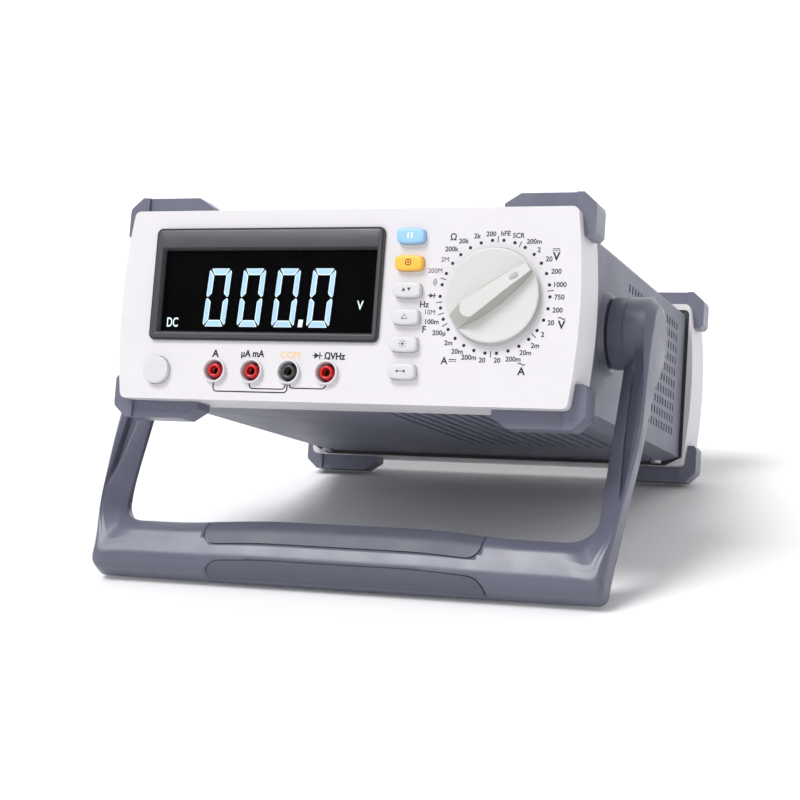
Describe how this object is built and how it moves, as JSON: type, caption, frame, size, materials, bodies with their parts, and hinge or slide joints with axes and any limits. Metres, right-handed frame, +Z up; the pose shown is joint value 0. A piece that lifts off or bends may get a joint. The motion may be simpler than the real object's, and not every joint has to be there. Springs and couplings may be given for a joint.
{
  "type": "bench multimeter",
  "caption": "Bench multimeter tilted up on its carrying handle, with a digital display, range dial, function keys, input jacks and corner guards.",
  "frame": {"origin": "middle of the footprint on the surface it stands on", "axes": "+X to the instrument's right seen from the front, +Y from the front panel to the back, +Z up"},
  "size_m": [0.268, 0.295, 0.1807],
  "materials": {
    "panel_plastic": "fine texture, off-white",
    "cover_plastic": "satin blue-grey",
    "guard_plastic": "satin blue-grey",
    "handle_plastic": "satin blue-grey",
    "grip_rubber": "leather grain, blue-grey",
    "display_frame": "satin dark grey",
    "window_clear": "clear, smoked",
    "lcd_glass": "dark display glass",
    "backlight": "diffusing",
    "inner_plastic": "black moulding",
    "button_white": "off-white",
    "button_blue": "light blue",
    "button_amber": "orange-yellow",
    "dial_plastic": "off-white",
    "jack_red": "red",
    "jack_black": "black",
    "contact_brass": "plated",
    "board_laminate": "green laminate",
    "core_steel": "lamination stack",
    "winding_wire": "enamelled copper wire",
    "rear_black": "black",
    "fuse_glass": "clear tube",
    "plated_steel": "zinc plated"
  },
  "bodies": {
    "case": {"backlight_panel": "backlight", "board_connector": "inner_plastic", "board_screws": "plated_steel", "bottom_cover": "cover_plastic", "bumper_front_bottom_left": "guard_plastic", "bumper_front_bottom_right": "guard_plastic", "bumper_front_top_left": "guard_plastic", "bumper_front_top_right": "guard_plastic", "bumper_rear_bottom_left": "guard_plastic", "bumper_rear_bottom_right": "guard_plastic", "bumper_rear_top_left": "guard_plastic", "bumper_rear_top_right": "guard_plastic", "buzzer": "inner_plastic", "cover_screws": "plated_steel", "current_fuses": "fuse_glass", "display_surround": "display_frame", "display_window": "window_clear", "front_bezel": "panel_plastic", "front_board": "board_laminate", "fuse_clips": "contact_brass", "fuse_holder": "rear_black", "inlet_pins": "contact_brass", "jack_contacts": "contact_brass", "jack_sleeve_black": "jack_black", "jack_sleeves_red": "jack_red", "jack_wells": "panel_plastic", "key_switches": "inner_plastic", "lcd_holder": "inner_plastic", "lcd_panel": "lcd_glass", "main_board": "board_laminate", "mains_fuse": "fuse_glass", "mains_inlet": "rear_black", "pivot_axles": "plated_steel", "pivot_bosses": "handle_plastic", "power_switch": "inner_plastic", "range_switch": "inner_plastic", "rear_bezel": "panel_plastic", "rear_panel": "rear_black", "rear_screws": "plated_steel", "top_cover": "cover_plastic", "transformer_core": "core_steel", "transformer_winding": "winding_wire", "usb_socket": "plated_steel"},
    "handle": {"handle": "handle_plastic", "grip_pad_upper": "grip_rubber", "grip_pad_lower": "grip_rubber", "detent_springs": "plated_steel"},
    "dial": {"range_dial": "dial_plastic", "switch_rotor": "inner_plastic"},
    "power_button": {"power_button": "button_white"},
    "key_hold": {"key_hold": "button_blue"},
    "key_select": {"key_select": "button_amber"},
    "key_max_min": {"key_max_min": "button_white"},
    "key_relative": {"key_relative": "button_white"},
    "key_light": {"key_light": "button_white"},
    "key_link": {"key_link": "button_white"}
  },
  "joints": [
    {"name": "handle_pivot", "type": "hinge", "parent": "case", "child": "handle", "pos_m": [0, -0.05263, 0.10973], "axis": [1, 0, 0], "range_deg": [-220, 82]},
    {"name": "dial_turn", "type": "hinge", "parent": "case", "child": "dial", "pos_m": [0.0742, -0.11948, 0.13684], "axis": [0, -0.9479, 0.3185], "continuous": true},
    {"name": "power_press", "type": "slide", "parent": "case", "child": "power_button", "axis": [0, 0.9479, -0.3185], "range_m": [0, 0.003], "stiffness_N_per_m": 300},
    {"name": "key_hold_press", "type": "slide", "parent": "case", "child": "key_hold", "axis": [0, 0.9479, -0.3185], "range_m": [0, 0.0012], "stiffness_N_per_m": 400},
    {"name": "key_select_press", "type": "slide", "parent": "case", "child": "key_select", "axis": [0, 0.9479, -0.3185], "range_m": [0, 0.0012], "stiffness_N_per_m": 400},
    {"name": "key_max_min_press", "type": "slide", "parent": "case", "child": "key_max_min", "axis": [0, 0.9479, -0.3185], "range_m": [0, 0.0012], "stiffness_N_per_m": 400},
    {"name": "key_relative_press", "type": "slide", "parent": "case", "child": "key_relative", "axis": [0, 0.9479, -0.3185], "range_m": [0, 0.0012], "stiffness_N_per_m": 400},
    {"name": "key_light_press", "type": "slide", "parent": "case", "child": "key_light", "axis": [0, 0.9479, -0.3185], "range_m": [0, 0.0012], "stiffness_N_per_m": 400},
    {"name": "key_link_press", "type": "slide", "parent": "case", "child": "key_link", "axis": [0, 0.9479, -0.3185], "range_m": [0, 0.0012], "stiffness_N_per_m": 400}
  ]
}
